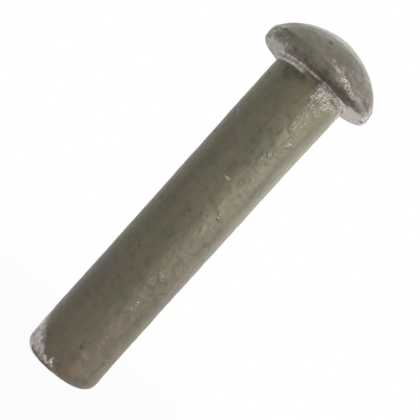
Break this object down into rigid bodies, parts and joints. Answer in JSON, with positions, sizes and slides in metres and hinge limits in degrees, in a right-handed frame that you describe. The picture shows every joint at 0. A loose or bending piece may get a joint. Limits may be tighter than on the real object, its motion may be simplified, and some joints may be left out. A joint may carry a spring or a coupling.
{
  "type": "round head rivet",
  "caption": "Hot-forged round head rivet with a spherical dome, a barrelled rim, a flat bearing face and a plain shank with a sheared tail.",
  "frame": {"origin": "centre of the bearing face under the head, on the axis", "axes": "+Z along the axis, out through the dome; the shank hangs along -Z; X and Y are free, as the part is turned round Z"},
  "size_m": [0.0258, 0.0258, 0.0849],
  "materials": {
    "scaled_steel": "satin oiled mill scale"
  },
  "bodies": {
    "root": {"rivet": "scaled_steel"}
  },
  "joints": []
}
